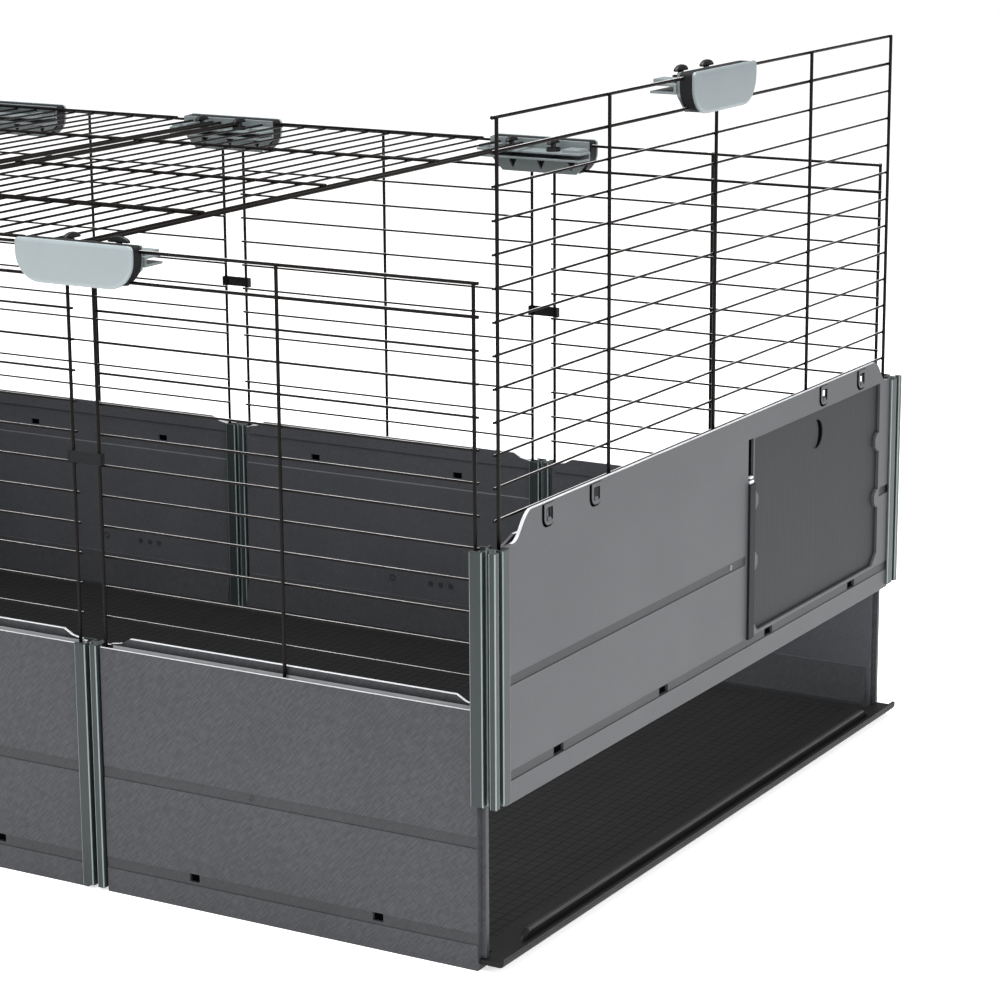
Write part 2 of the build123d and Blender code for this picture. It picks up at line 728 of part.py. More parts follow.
with BuildPart() as knob_front_2:
    with Locations(Location((-junction + knob_side, -half_depth + knob_in, 0), (0, 0, 90))):
        add(knob.part)
knob_front_2.part.label = "knob_front_2"
export_step(knob_front_2.part, "parts/knob_front_2.step")

with BuildPart() as knob_front_3:
    with Locations(Location((junction - knob_side, -half_depth + knob_in, 0), (0, 0, 90))):
        add(knob.part)
knob_front_3.part.label = "knob_front_3"
export_step(knob_front_3.part, "parts/knob_front_3.step")

with BuildPart() as knob_front_4:
    with Locations(Location((junction + knob_side, -half_depth + knob_in, 0), (0, 0, 0))):
        add(knob.part)
knob_front_4.part.label = "knob_front_4"
export_step(knob_front_4.part, "parts/knob_front_4.step")

with BuildPart() as knob_back_1:
    with Locations(Location((-junction - knob_side, half_depth - knob_in, 0), (0, 0, 90))):
        add(knob.part)
knob_back_1.part.label = "knob_back_1"
export_step(knob_back_1.part, "parts/knob_back_1.step")

with BuildPart() as knob_back_2:
    with Locations(Location((-junction + knob_side, half_depth - knob_in, 0), (0, 0, 90))):
        add(knob.part)
knob_back_2.part.label = "knob_back_2"
export_step(knob_back_2.part, "parts/knob_back_2.step")

with BuildPart() as knob_back_3:
    with Locations(Location((junction - knob_side, half_depth - knob_in, 0), (0, 0, 90))):
        add(knob.part)
knob_back_3.part.label = "knob_back_3"
export_step(knob_back_3.part, "parts/knob_back_3.step")

with BuildPart() as knob_back_4:
    with Locations(Location((junction + knob_side, half_depth - knob_in, 0), (0, 0, 90))):
        add(knob.part)
knob_back_4.part.label = "knob_back_4"
export_step(knob_back_4.part, "parts/knob_back_4.step")

with BuildPart() as knob_side_front:
    with Locations(Location((half_length - knob_in, -knob_side, lift), (0, 0, 90))):
        add(knob.part)
knob_side_front.part.label = "knob_side_front"
export_step(knob_side_front.part, "parts/knob_side_front.step")

with BuildPart() as knob_side_back:
    with Locations(Location((half_length - knob_in, knob_side, lift), (0, 0, 90))):
        add(knob.part)
knob_side_back.part.label = "knob_side_back"
export_step(knob_side_back.part, "parts/knob_side_back.step")
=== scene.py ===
import bpy
import bmesh
import json
from math import radians, sin, cos, pi
from mathutils import Vector, Matrix


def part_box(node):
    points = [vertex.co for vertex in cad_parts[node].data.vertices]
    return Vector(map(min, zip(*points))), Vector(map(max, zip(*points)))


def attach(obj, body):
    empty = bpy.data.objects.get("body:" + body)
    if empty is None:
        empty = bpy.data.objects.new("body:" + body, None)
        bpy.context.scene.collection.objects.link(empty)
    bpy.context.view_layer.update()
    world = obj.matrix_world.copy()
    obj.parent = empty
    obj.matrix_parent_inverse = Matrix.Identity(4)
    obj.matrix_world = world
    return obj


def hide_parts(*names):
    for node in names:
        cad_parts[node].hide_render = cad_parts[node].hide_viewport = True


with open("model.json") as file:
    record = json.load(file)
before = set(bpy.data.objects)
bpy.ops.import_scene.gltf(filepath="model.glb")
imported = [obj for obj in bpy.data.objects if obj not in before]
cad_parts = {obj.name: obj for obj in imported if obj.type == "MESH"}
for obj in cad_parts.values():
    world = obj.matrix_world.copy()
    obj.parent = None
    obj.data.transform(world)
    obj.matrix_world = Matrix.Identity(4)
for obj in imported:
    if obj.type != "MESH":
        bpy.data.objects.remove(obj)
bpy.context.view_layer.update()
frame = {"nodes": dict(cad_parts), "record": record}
nodes = frame["nodes"]
bodyOf = {n: body for body, members in frame["record"]["behaviour"]["bodies"].items() for n in members}
mm = 0.001
print("frame loaded:", len(nodes), "nodes")

# camera, at the photograph's viewing angle
view = {
    "place": (1.5860, -2.1631, 0.8595),
    "yaw": 30.14,  # degrees to the left of +Y
    "pitch": 13.66,  # degrees down
    "roll": -0.29,
    "lens": 112.07,
    "sensor": 36,
    "farthest": 30,
}


def placeCamera(v):
    yaw, pitch, roll = radians(v["yaw"]), radians(v["pitch"]), radians(v["roll"])
    ahead = Vector((-sin(yaw) * cos(pitch), cos(yaw) * cos(pitch), -sin(pitch)))
    right = ahead.cross(Vector((0, 0, 1))).normalized()
    up = right.cross(ahead)
    turnedRight = right * cos(roll) + up * sin(roll)
    turnedUp = up * cos(roll) - right * sin(roll)
    lens = bpy.data.cameras.new("camera")
    lens.lens = v["lens"]
    lens.sensor_width = v["sensor"]
    lens.clip_end = v["farthest"]
    camera = bpy.data.objects.new("camera", lens)
    bpy.context.collection.objects.link(camera)
    axes = Matrix((turnedRight, turnedUp, -ahead)).transposed()
    camera.matrix_world = Matrix.Translation(Vector(v["place"])) @ axes.to_4x4()
    bpy.context.scene.camera = camera


placeCamera(view)

# studio: white surround, a broad strong light above, a smaller one from the right and a weak one in front
studio = {
    "surround": (1.0, 1.0, 1.0, 1.0),
    "surroundStrength": 0.42,  # what the object sees of it; the camera sees it white
    "floorSize": 14.0,
    "lights": [
        # name, place, aim, size, watts
        ("sideLight", (3.4, -0.9, 1.7), (0.5, 0.0, 0.3), 1.4, 50),
        ("topLight", (0.2, -0.2, 3.0), (0.0, 0.0, 0.2), 2.2, 170),
        ("frontLight", (-0.8, -3.6, 1.6), (0.0, 0.0, 0.25), 2.0, 26),
    ],
}


def addLight(name, place, aim, size, watts):
    lamp = bpy.data.lights.new(name, "AREA")
    lamp.shape = "DISK"
    lamp.size = size
    lamp.energy = watts
    light = bpy.data.objects.new(name, lamp)
    light.location = place
    light.rotation_euler = (Vector(aim) - Vector(place)).to_track_quat("-Z", "Y").to_euler()
    bpy.context.collection.objects.link(light)


for row in studio["lights"]:
    addLight(*row)

world = bpy.data.worlds.new("surround")
world.use_nodes = True
tree = world.node_tree
seenByObject = tree.nodes["Background"]
seenByObject.inputs["Color"].default_value = studio["surround"]
seenByObject.inputs["Strength"].default_value = studio["surroundStrength"]
seenByCamera = tree.nodes.new("ShaderNodeBackground")
seenByCamera.inputs["Color"].default_value = studio["surround"]
chooser = tree.nodes.new("ShaderNodeMixShader")
tree.links.new(tree.nodes.new("ShaderNodeLightPath").outputs["Is Camera Ray"], chooser.inputs[0])
tree.links.new(seenByObject.outputs[0], chooser.inputs[1])
tree.links.new(seenByCamera.outputs[0], chooser.inputs[2])
tree.links.new(chooser.outputs[0], tree.nodes["World Output"].inputs["Surface"])
bpy.context.scene.world = world
bpy.context.scene.view_settings.view_transform = "Standard"
print("camera and lights placed")


# shader maths: a Value wraps a socket, and sums on it add Math nodes
class Value:
    def __init__(self, paint, socket):
        self.paint = paint
        self.socket = socket

    def maths(self, operation, *terms):
        return self.paint.node("ShaderNodeMath", {"operation": operation}, dict(enumerate(terms)))

    def __add__(self, other):
        return self.maths("ADD", self, other)

    def __mul__(self, other):
        return self.maths("MULTIPLY", self, other)

    def __sub__(self, other):
        return self.maths("SUBTRACT", self, other)

    def __rsub__(self, other):
        return self.maths("SUBTRACT", other, self)

    def __truediv__(self, other):
        return self.maths("DIVIDE", self, other)

    def __lt__(self, other):
        return self.maths("LESS_THAN", self, other)

    def fraction(self):
        return self.maths("FRACT", self)

    def size(self):
        return self.maths("ABSOLUTE", self)

    def larger(self, other):
        return self.maths("MAXIMUM", self, other)

    __radd__ = __add__
    __rmul__ = __mul__


class Paint:
    def __init__(self, name):
        self.material = bpy.data.materials.new(name)
        self.material.use_nodes = True
        self.tree = self.material.node_tree
        self.tree.nodes.clear()

    def node(self, kind, settings=None, sockets=None, output=0):
        made = self.tree.nodes.new(kind)
        for name, setting in (settings or {}).items():
            setattr(made, name, setting)
        for key, value in (sockets or {}).items():
            if isinstance(value, Value):
                self.tree.links.new(value.socket, made.inputs[key])
            else:
                made.inputs[key].default_value = value
        return Value(self, made.outputs[output]) if made.outputs else None

    # object coordinates in millimetres, as three values
    def place(self):
        here = self.node("ShaderNodeTexCoord", output="Object")
        apart = self.node("ShaderNodeSeparateXYZ", None, {0: here})
        sockets = apart.socket.node.outputs
        return [Value(self, sockets[axis]) * 1000.0 for axis in range(3)]

    def vector(self, x, y, z):
        return self.node("ShaderNodeCombineXYZ", None, {0: x, 1: y, 2: z})

    def noise(self, vector, scale, detail=2.0, rough=0.5):
        sockets = {"Vector": vector, "Scale": scale, "Detail": detail, "Roughness": rough}
        return self.node("ShaderNodeTexNoise", None, sockets)

    def blend(self, factor, first, second):
        sockets = {0: factor, 6: first, 7: second}
        return self.node("ShaderNodeMix", {"data_type": "RGBA"}, sockets, output=2)

    def bump(self, height, strength, distance):
        sockets = {"Height": height, "Strength": strength, "Distance": distance}
        return self.node("ShaderNodeBump", None, sockets)

    def finish(self, colour, roughness, normal=None, **numbers):
        sockets = {"Base Color": colour, "Roughness": roughness}
        if normal:
            sockets["Normal"] = normal
        for name, number in numbers.items():
            sockets[name.replace("_", " ")] = number
        shader = self.node("ShaderNodeBsdfPrincipled", None, sockets)
        self.node("ShaderNodeOutputMaterial", None, {"Surface": shader})
        return self.material


def grey(r, g, b):
    return (r, g, b, 1.0)


# moulded panels: fine slanted hatching, a pebbled skin and faint cloudy wear
panelSkin = {
    "tone": grey(0.036, 0.037, 0.041),
    "worn": grey(0.066, 0.068, 0.074),
    "hatchPitch": 0.62,  # cycles of noise per mm across the hatching
    "hatchRun": 0.07,
    "roughness": 0.47,
}


def panelPaint(name, skin, hatching):
    p = Paint(name)
    x, y, z = p.place()
    flat = x + y
    pitch, run = skin["hatchPitch"], skin["hatchRun"]
    rising = p.noise(p.vector((flat - z) * pitch, (flat + z) * run, 0.0), 1.0)
    falling = p.noise(p.vector((flat + z) * pitch, (flat - z) * run, 9.0), 1.0)
    hatch = rising * 0.65 + falling * 0.35
    pebble = p.noise(p.vector(x, y, z), 1.6, 3.0, 0.6)
    cloud = p.noise(p.vector(x, y, z), 0.012, 3.0, 0.55)
    wear = hatch * (2.8 * hatching) + pebble * 0.9 + cloud * 0.5 - (0.45 + 1.4 * hatching)
    colour = p.blend(wear, skin["tone"], skin["worn"])
    normal = p.bump(hatch * hatching + pebble * 0.6, 0.35, 0.25 * mm)
    roughness = skin["roughness"] + pebble * 0.08 - cloud * 0.06
    return p.finish(colour, roughness, normal, Specular_IOR_Level=0.2)


def darker(skin, share):
    toned = {key: grey(*(share * part for part in skin[key][:3])) for key in ("tone", "worn")}
    return dict(skin, **toned)


# end walls: the wall plastic in a lighter tone, painted light for their brighter lit side
endSkin = dict(panelSkin, tone=grey(0.059, 0.061, 0.066), worn=grey(0.080, 0.082, 0.088))
wallPaint = panelPaint("wall moulding", panelSkin, 1.0)
wallBandPaint = panelPaint("wall moulding, band", darker(panelSkin, 0.78), 0.6)
# inner faces: the wall paint in a lighter copy, painted light inside the cage
wallInsidePaintedLight = panelPaint("wall moulding, inside, painted light", darker(panelSkin, 1.5), 0.4)
endPaint = panelPaint("end moulding", endSkin, 0.3)
endBandPaint = panelPaint("end moulding, band", darker(endSkin, 0.42), 0.3)

# tray: a grid of fine grooves inside a smooth margin, the grooves near black as painted shade
traySkin = {
    "tone": grey(0.0058, 0.0058, 0.006),
    "scuffed": grey(0.012, 0.012, 0.0124),
    "groove": grey(0.002, 0.002, 0.002),
    "pitch": 10.0,
    "grooveShare": 0.085,  # of the pitch
    "margin": (506.0, 326.0),  # the grid stops here, in mm from the middle
}


def trayPaint(skin):
    p = Paint("tray moulding")
    x, y, z = p.place()
    across = (x / skin["pitch"]).fraction() < skin["grooveShare"]
    along = (y / skin["pitch"]).fraction() < skin["grooveShare"]
    inside = (x.size() < skin["margin"][0]) * (y.size() < skin["margin"][1])
    grid = across.larger(along) * inside
    scuff = p.noise(p.vector(x, y * 0.4, z), 0.06, 4.0, 0.6)
    speck = p.noise(p.vector(x, y, z), 2.2, 2.0, 0.5)
    plain = p.blend(scuff * 0.8 + speck * 0.3 - 0.15, skin["tone"], skin["scuffed"])
    # painted shade: the grooves take the near-black groove colour
    colour = p.blend(grid * 0.9, plain, skin["groove"])
    normal = p.bump(speck * 0.3 - grid, 0.5, 0.4 * mm)
    return p.finish(colour, 0.6 - scuff * 0.14 + grid * 0.3, normal, Specular_IOR_Level=0.12)


trayMaterial = trayPaint(traySkin)

# posts: smooth green-grey with faint lines from the die along their length
postSkin = {"tone": grey(0.021, 0.026, 0.0265), "edge": grey(0.036, 0.045, 0.045), "roughness": 0.33}
# a much lighter copy for the slanted corners: painted highlight
postHighlightSkin = {"tone": grey(0.17, 0.21, 0.205), "edge": grey(0.28, 0.33, 0.325), "roughness": 0.25}


def postPaint(name, skin):
    p = Paint(name)
    x, y, z = p.place()
    drawn = p.noise(p.vector(x * 1.4, y * 1.4, z * 0.01), 1.0, 2.0)
    cloud = p.noise(p.vector(x, y, z), 0.02, 2.0)
    colour = p.blend(drawn * 0.6 + cloud * 0.4 - 0.2, skin["tone"], skin["edge"])
    normal = p.bump(drawn, 0.25, 0.12 * mm)
    return p.finish(colour, skin["roughness"] + drawn * 0.1, normal, Specular_IOR_Level=0.22)


postMaterial = postPaint("post profile", postSkin)
postHighlightMaterial = postPaint("post profile, painted highlight", postHighlightSkin)

# coated wire: near black, with a painted highlight in a much lighter paint where a level wire faces up
wireSkin = {"tone": grey(0.0022, 0.0016, 0.0014), "thin": grey(0.0060, 0.0042, 0.0036), "roughness": 0.4}
sheenSkin = {"tone": grey(0.30, 0.295, 0.29), "thin": grey(0.55, 0.545, 0.54), "roughness": 0.3}


def wirePaint(name, skin):
    p = Paint(name)
    x, y, z = p.place()
    lumps = p.noise(p.vector(x, y, z), 0.9, 2.0)
    runs = p.noise(p.vector(x, y, z), 0.05, 2.0)
    colour = p.blend(runs, skin["tone"], skin["thin"])
    normal = p.bump(lumps, 0.12, 0.1 * mm)
    return p.finish(colour, skin["roughness"] + lumps * 0.1, normal, Specular_IOR_Level=0.1)


wireMaterial = wirePaint("coated wire", wireSkin)
sheenMaterial = wirePaint("coated wire, lit top", sheenSkin)


# smaller plastics and rubber share one simple skin
def plainPaint(name, tone, worn, roughness, grain=1.5, depth=0.15, **numbers):
    p = Paint(name)
    x, y, z = p.place()
    pebble = p.noise(p.vector(x, y, z), grain, 3.0, 0.6)
    cloud = p.noise(p.vector(x, y, z), 0.03, 3.0)
    colour = p.blend(pebble * 0.4 + cloud * 0.6 - 0.1, tone, worn)
    normal = p.bump(pebble, 0.3, depth * mm)
    return p.finish(colour, roughness + pebble * 0.08, normal, **numbers)


connectorMaterial = plainPaint("connector plastic", grey(0.22, 0.255, 0.265), grey(0.28, 0.32, 0.33), 0.4)
# the end plate: a darker copy of the connector plastic, painted shade against the side light on it
connectorPaintedShadeMaterial = plainPaint(
    "connector plastic, end, painted shade", grey(0.155, 0.18, 0.19), grey(0.20, 0.23, 0.24), 0.4
)
bracketMaterial = plainPaint("bracket plastic", grey(0.115, 0.135, 0.14), grey(0.17, 0.195, 0.20), 0.36)
rubberMaterial = plainPaint(
    "rubber grip", grey(0.006, 0.006, 0.007), grey(0.013, 0.013, 0.014), 0.6, Specular_IOR_Level=0.12
)
knobMaterial = plainPaint(
    "knob plastic", grey(0.007, 0.007, 0.0075), grey(0.02, 0.02, 0.021), 0.35, Specular_IOR_Level=0.18
)
clipMaterial = plainPaint(
    "clip plastic", grey(0.008, 0.0085, 0.009), grey(0.016, 0.017, 0.018), 0.45, Specular_IOR_Level=0.08
)
latchMaterial = plainPaint("latch plastic", grey(0.60, 0.64, 0.66), grey(0.75, 0.78, 0.80), 0.33)
# painted shadow: near black for the floors of slots, the gaps round the window clips and the door's recess
shadowMaterial = plainPaint(
    "painted shadow in hollows", grey(0.0012, 0.0012, 0.0012), grey(0.003, 0.003, 0.003), 0.9, Specular_IOR_Level=0.0
)
# painted highlight: a lighter paint for the tray's ridge tops and the lip's outer edge
trayHighlightMaterial = plainPaint(
    "tray ridge and lip, painted highlight", grey(0.022, 0.022, 0.023), grey(0.05, 0.05, 0.052), 0.4, Specular_IOR_Level=0.3
)
# painted highlight: a pale paint for the top edges of the walls and end walls
topEdgeHighlightMaterial = plainPaint("bright moulded rim", grey(0.42, 0.435, 0.455), grey(0.72, 0.735, 0.75), 0.3)

# door sheet: fine upright ribs from edge to edge and a seam through the finger recess
doorSkin = {
    "tone": grey(0.0195, 0.0218, 0.0228),
    "worn": grey(0.030, 0.033, 0.034),
    "ribPitch": 4.4,
    "seam": 186.0,
}


def doorPaint(skin):
    p = Paint("ribbed door sheet")
    x, y, z = p.place()
    rib = ((y / skin["ribPitch"]).fraction() - 0.5).size() * 2.0
    seam = (y.size() - skin["seam"]).size() < 0.5
    grain = p.noise(p.vector(x, y * 2.0, z * 0.05), 0.6, 2.0)
    cloud = p.noise(p.vector(x, y, z), 0.02, 3.0)
    colour = p.blend(rib * 0.5 + grain * 0.35 + cloud * 0.4 + seam - 0.2, skin["tone"], skin["worn"])
    normal = p.bump(rib + grain * 0.4 + seam, 0.22, 0.2 * mm)
    return p.finish(colour, 0.5 + grain * 0.1, normal, Specular_IOR_Level=0.12)


doorMaterial = doorPaint(doorSkin)


def floorPaint():
    p = Paint("studio floor")
    x, y, z = p.place()
    mottle = p.noise(p.vector(x, y, z), 0.002, 2.0)
    colour = p.blend(mottle, grey(0.93, 0.93, 0.93), grey(0.95, 0.95, 0.95))
    return p.finish(colour, 0.9, Emission_Color=grey(1.0, 1.0, 1.0), Emission_Strength=0.62)


print("materials mixed")

# floor
bm = bmesh.new()
bmesh.ops.create_grid(bm, x_segments=1, y_segments=1, size=studio["floorSize"] / 2)
floorMesh = bpy.data.meshes.new("studio_floor")
bm.to_mesh(floorMesh)
bm.free()
floor = bpy.data.objects.new("studio_floor", floorMesh)
bpy.context.collection.objects.link(floor)
floorMesh.materials.append(floorPaint())


# a finished piece: mesh from bmesh, smooth under an angle, riding on its body
def makePiece(name, bm, body, materials, smoothUnder=35, even=False):
    mesh = bpy.data.meshes.new(name)
    bm.to_mesh(mesh)
    bm.free()
    for face in mesh.polygons:
        face.use_smooth = True
    mesh.set_sharp_from_angle(angle=radians(smoothUnder))
    for material in materials if isinstance(materials, list) else [materials]:
        mesh.materials.append(material)
    piece = bpy.data.objects.new(name, mesh)
    bpy.context.collection.objects.link(piece)
    if even:
        weighted = piece.modifiers.new("even shading", "WEIGHTED_NORMAL")
        weighted.keep_sharp = True
    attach(piece, body)
    return piece


# a moulding: the CAD solid's own form, merged, with its long edges rounded and its faces sorted
def moulding(node, materials, rounding, segments=2, wide=(), sort=None, shape=None):
    shortest, thinnest = 10 * mm, 1.2 * mm  # shorter edges and thinner faces stay sharp
    bm = bmesh.new()
    bm.from_mesh(nodes[node].data)
    bmesh.ops.remove_doubles(bm, verts=bm.verts, dist=0.002 * mm)
    bmesh.ops.dissolve_limit(bm, angle_limit=radians(1), verts=bm.verts, edges=bm.edges)

    def roundOff(offset, chosen):
        edges = []
        for edge in bm.edges:
            if len(edge.link_faces) == 2 and edge.calc_length() > shortest and chosen(edge):
                broad = all(f.calc_area() / edge.calc_length() > thinnest for f in edge.link_faces)
                if broad and edge.calc_face_angle(0) > radians(25):
                    edges.append(edge)
        bmesh.ops.bevel(
            bm, geom=edges, offset=offset, offset_type="OFFSET", segments=segments, profile=0.5,
            affect="EDGES", clamp_overlap=False, material=-1,
        )

    for offset, chosen in wide:
        roundOff(offset, chosen)
    roundOff(rounding, lambda edge: not any(chosen(edge) for _, chosen in wide))
    for vert in bm.verts if shape else []:
        shape(vert.co)
    if sort:
        bm.normal_update()
        for face in bm.faces:
            face.material_index = sort(face.calc_center_median() / mm, face.normal)
    piece = makePiece(node + "_moulding", bm, bodyOf[node], materials, even=True)
    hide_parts(node)
    return piece


def near(value, target):
    return abs(abs(value) - target) < 0.15


# where the walls' and ends' faces lie in the CAD, in mm: distances from the middle, and heights
wallAt = {
    "channel": 189.2,
    "flange": 349,
    "inner": 347,
    "foot": 36,
    "slot": 353.5,
    "hollow": 348,
    "hollowTop": 180,
    "band": 356.4,
}
endAt = {"top": 314, "slot": 529, "seat": 530, "band": 531.4, "rail": 532.3}


# a wall face's material: 1 top edges in a painted highlight, 2 floors of the slots in painted shadow, 3
# floor of the band and inner faces under the foot line, 4 inside faces, painted lighter
def wallFace(place, normal):
    outward = normal.y if place.y > 0 else -normal.y
    if place.z > wallAt["channel"] and (normal.z > 0.6 or outward > 0.6 and abs(place.y) < wallAt["flange"]):
        return 1
    # painted light: inner faces above the foot take the lighter inside paint
    if outward < -0.6 and abs(place.y) < wallAt["inner"]:
        return 3 if place.z < wallAt["foot"] else 4
    # painted shadow on the slot floors
    if near(place.y, wallAt["slot"]) or near(place.y, wallAt["hollow"]) and place.z < wallAt["hollowTop"]:
        return 2
    return 3 if near(place.y, wallAt["band"]) and abs(normal.y) > 0.9 else 0


# the same for an end wall, where 4 is the dark rail beside the door
def endFace(place, normal):
    # painted highlight on upward faces at the top
    if normal.z > 0.6 and place.z > endAt["top"]:
        return 1
    # painted shadow on the floors of the slots and of the groove above the rail
    if abs(normal.x) > 0.9 and (near(place.x, endAt["slot"]) or near(place.x, endAt["seat"])):
        return 2
    if near(place.x, endAt["band"]) and abs(normal.x) > 0.9:
        return 3
    return 4 if abs(place.x) > endAt["rail"] else 0


# the same for the tray's ridges and lips
trayAt = {
    "ridgeTop": 17,
    "ridgeBevel": 15.4,
    "ridgeFoot": 9,
    "ridgeRise": 8,
    "ridgeSlopes": 10,  # the sloping ends begin above this height
    "ridgeOuter": 531,
    "ridgeEnd": 303,
    "lip": 537.5,
    "lipEdge": 537.2,
    "lipFoot": 5.2,
}


# the ridge's rounded top and the thin outer edge of the lip are lighter: a painted highlight
def trayFace(place, normal):
    ridge = place.z > trayAt["ridgeBevel"] and 0.1 < abs(normal.x)
    lipEdge = abs(place.x) > trayAt["lipEdge"] and normal.z > 0.3
    return 1 if ridge or lipEdge else 0


# a ridge slopes down at its ends
def ridgeEnds(place):
    if place.z > trayAt["ridgeSlopes"] * mm and abs(place.x) < trayAt["ridgeOuter"] * mm:
        past = abs(place.y) - trayAt["ridgeEnd"] * mm
        if past > 0:
            share = (place.z / mm - trayAt["ridgeFoot"]) / trayAt["ridgeRise"]
            place.y -= past * (1 if place.y > 0 else -1) * share


# rounded corners of a post's profile get the lighter paint of a painted highlight
def postFace(place, normal):
    slanted = abs(normal.x) > 0.25 and abs(normal.y) > 0.25
    return 1 if slanted and abs(normal.z) < 0.3 else 0


def ridgeTop(edge):
    return all(near(v.co.z / mm, trayAt["ridgeTop"]) for v in edge.verts)


# underside of the tray's lip, which thins towards its outer edge
def lipUnder(edge):
    return all(
        near(v.co.x / mm, trayAt["lip"]) and v.co.z / mm < trayAt["lipFoot"] for v in edge.verts
    )


# the inner foot of a wall slopes all the way down to the tray
footEdge = {"depth": (337, 338.2), "height": (35, 37), "drop": 24}


def footSlope(place):
    inner, outer = footEdge["depth"]
    low, high = footEdge["height"]
    if inner < abs(place.y) / mm < outer and low < place.z / mm < high:
        place.z -= footEdge["drop"] * mm


for node in nodes:
    if node.startswith("wall_"):
        wallMaterials = [wallPaint, topEdgeHighlightMaterial, shadowMaterial, wallBandPaint, wallInsidePaintedLight]
        moulding(node, wallMaterials, 0.3 * mm, sort=wallFace, shape=footSlope)
    elif node.startswith("side_wall"):
        endMaterials = [endPaint, topEdgeHighlightMaterial, shadowMaterial, endBandPaint, clipMaterial]
        moulding(node, endMaterials, 0.3 * mm, sort=endFace)
    elif node.startswith("base_"):
        softer = [(1.8 * mm, ridgeTop), (3.5 * mm, lipUnder)]
        moulding(node, [trayMaterial, trayHighlightMaterial], 0.3 * mm, wide=softer, sort=trayFace, shape=ridgeEnds)
    elif node.startswith(("post_", "corner_post")):
        moulding(node, [postMaterial, postHighlightMaterial], 0.8 * mm, segments=3, sort=postFace)
    elif node.startswith("door_"):
        moulding(node, doorMaterial, 0.3 * mm)
    elif node.startswith("bracket_"):
        moulding(node, bracketMaterial, 0.35 * mm)
print("mouldings dressed")


# round rod with softened ends
def addRod(bm, start, end, radius, sides=12):
    start, end = Vector(start), Vector(end)
    along = end - start
    turn = along.to_track_quat("Z", "Y").to_matrix().to_4x4()
    rod = bmesh.ops.create_cone(
        bm, cap_ends=True, cap_tris=False, segments=sides, radius1=radius, radius2=radius,
        depth=along.length, matrix=Matrix.Translation((start + end) / 2) @ turn,
    )
    caps = {f for v in rod["verts"] for f in v.link_faces if len(f.verts) == sides}
    rims = [e for f in caps for e in f.edges]
    bmesh.ops.bevel(
        bm, geom=rims, offset=radius * 0.45, segments=2, profile=0.5, affect="EDGES", material=-1
    )


# weld: a small bead where two wires cross
def addWeld(bm, place, size):
    bmesh.ops.create_uvsphere(
        bm, u_segments=8, v_segments=5, radius=1.0,
        matrix=Matrix.Translation(place) @ Matrix.Diagonal((*size, 1.0)),
    )


mesh = {
    "rod": 1.4 * mm,
    "thin": 1.0 * mm,  # part.py has 0.8 mm
    "rows": 13,
    "rowPitch": 23.5 * mm,
    "inset": 12 * mm,
    "nub": 2.6 * mm,
}
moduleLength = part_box("base_middle")[1][0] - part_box("base_middle")[0][0]


# upright mesh; along is the axis its level wires follow, 0 for X and 1 for Y
def uprightMesh(node, along, uprights):
    low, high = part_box(node)
    across = 1 - along
    middle = (low[across] + high[across]) / 2
    outward = 1 if middle > 0 else -1
    rodAt = high[across] - mesh["rod"] if outward > 0 else low[across] + mesh["rod"]
    top = high[2] - mesh["rod"]

    def at(run, cross, z):
        return (run, cross, z) if along == 0 else (cross, run, z)

    bm = bmesh.new()
    for run in uprights:
        addRod(bm, at(run, rodAt, low[2]), at(run, rodAt, high[2]), mesh["rod"])
    for row in range(mesh["rows"]):
        radius = mesh["rod"] if row < 2 else mesh["thin"]
        level = top - row * mesh["rowPitch"]
        wireAt = rodAt - outward * (mesh["rod"] + radius * 0.86)
        addRod(bm, at(low[along], wireAt, level), at(high[along], wireAt, level), radius)
        for run in uprights:
            bead = at(1.3 * mm, 0.7 * mm, 1.3 * mm)
            addWeld(bm, at(run, rodAt - outward * mesh["rod"], level), bead)
    # painted highlight: upward faces of the level wires take the lighter sheen paint
    bm.normal_update()
    for face in bm.faces:
        levelWire = abs(face.normal[along]) < 0.1 and face.calc_area() > 12 * mm * mm
        face.material_index = 1 if face.normal.z > 0.75 and levelWire else 0
    piece = makePiece(node + "_rods", bm, bodyOf[node], [wireMaterial, sheenMaterial], 50)
    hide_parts(node)


for node in nodes:
    if node.startswith("wires_"):
        low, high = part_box(node)
        ends = (low[0] + mesh["nub"], high[0] - mesh["nub"])
        uprightMesh(node, 0, (ends[0], sum(ends) / 2, ends[1]))
    elif node.startswith("side_wires"):
        reach = moduleLength - mesh["inset"]
        uprightMesh(node, 1, (-reach, -moduleLength / 2, 0.0, moduleLength / 2, reach))
print("upright meshes built")

# roof meshes: edge rods in pairs, thin wires between, cross rods over them
roof = {
    "edges": (8 * mm, 17 * mm),
    "wires": 12,
    "crossAt": (-175 * mm, 0.0, 175 * mm),
    "endsAt": 11 * mm,
    "clearOfClamp": 58 * mm,
}


